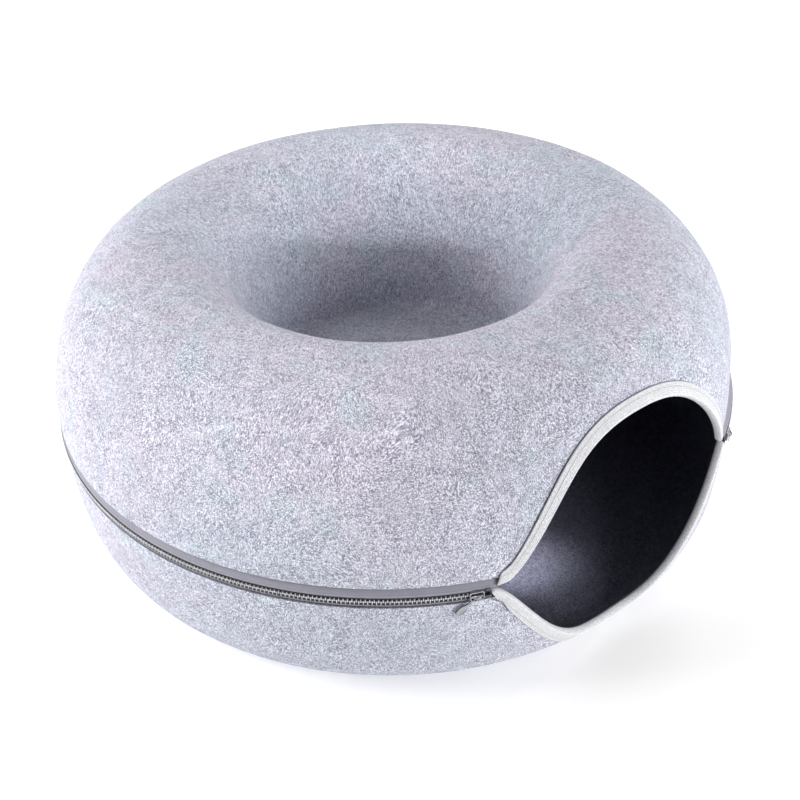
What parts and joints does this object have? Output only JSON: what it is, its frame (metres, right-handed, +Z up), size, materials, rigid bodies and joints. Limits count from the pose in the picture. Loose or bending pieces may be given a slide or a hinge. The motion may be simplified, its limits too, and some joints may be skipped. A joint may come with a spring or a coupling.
{
  "type": "donut cat tunnel",
  "caption": "Ring shaped felt cat tunnel in two half shells zipped round the rim, with a bound eye shaped entrance and a dished well in the middle.",
  "frame": {"origin": "Centre of the ring's base, on the floor under the middle of the well.", "axes": "+Z is up and is the ring's own axis. The zip lies in a plane parallel to XY. The picture's camera looks from -Y, and the entrance faces 38 degrees from -Y towards +X."},
  "size_m": [0.6, 0.5999, 0.25],
  "materials": {
    "felt": "heathered needle felt",
    "binding_tape": "ribbed woven tape",
    "zip_tape": "woven zip tape",
    "zip_teeth": "moulded, satin",
    "slider_metal": "die cast, satin grey",
    "pull_metal": "stamped, bright"
  },
  "bodies": {
    "lower_half": {"lower_shell": "felt", "lower_binding": "binding_tape", "lower_zip_tape": "zip_tape", "lower_zip_teeth": "zip_teeth", "lower_left_end_stop": "zip_teeth", "lower_right_end_stop": "zip_teeth"},
    "upper_half": {"upper_shell": "felt", "upper_binding": "binding_tape", "upper_zip_tape": "zip_tape", "upper_zip_teeth": "zip_teeth", "upper_left_end_stop": "zip_teeth", "upper_right_end_stop": "zip_teeth"},
    "left_slider": {"left_slider_front_plate": "slider_metal", "left_slider_back_plate": "slider_metal", "left_slider_crown": "slider_metal"},
    "right_slider": {"right_slider_front_plate": "slider_metal", "right_slider_back_plate": "slider_metal", "right_slider_crown": "slider_metal"},
    "left_pull": {"left_pull_tab": "pull_metal"},
    "right_pull": {"right_pull_tab": "pull_metal"}
  },
  "joints": [
    {"name": "lid_hinge", "type": "hinge", "parent": "lower_half", "child": "upper_half", "pos_m": [-0.18497, 0.23619, 0.11], "axis": [-0.7873, -0.6166, 0], "range_deg": [0, 160]},
    {"name": "left_slider_travel", "type": "hinge", "parent": "lower_half", "child": "left_slider", "pos_m": [0, 0, 0.11], "axis": [0, 0, 1], "range_deg": [-135, 0]},
    {"name": "right_slider_travel", "type": "hinge", "parent": "lower_half", "child": "right_slider", "pos_m": [0, 0, 0.11], "axis": [0, 0, 1], "range_deg": [0, 135]},
    {"name": "left_pull_swing", "type": "hinge", "parent": "left_slider", "child": "left_pull", "pos_m": [0.05172, -0.2979, 0.1104], "axis": [-0.6963, -0.1233, 0.7071], "range_deg": [0, 90]},
    {"name": "right_pull_swing", "type": "hinge", "parent": "right_slider", "child": "right_pull", "pos_m": [0.27681, -0.12161, 0.1104], "axis": [-0.2866, -0.6464, -0.7071], "range_deg": [0, 90]}
  ]
}
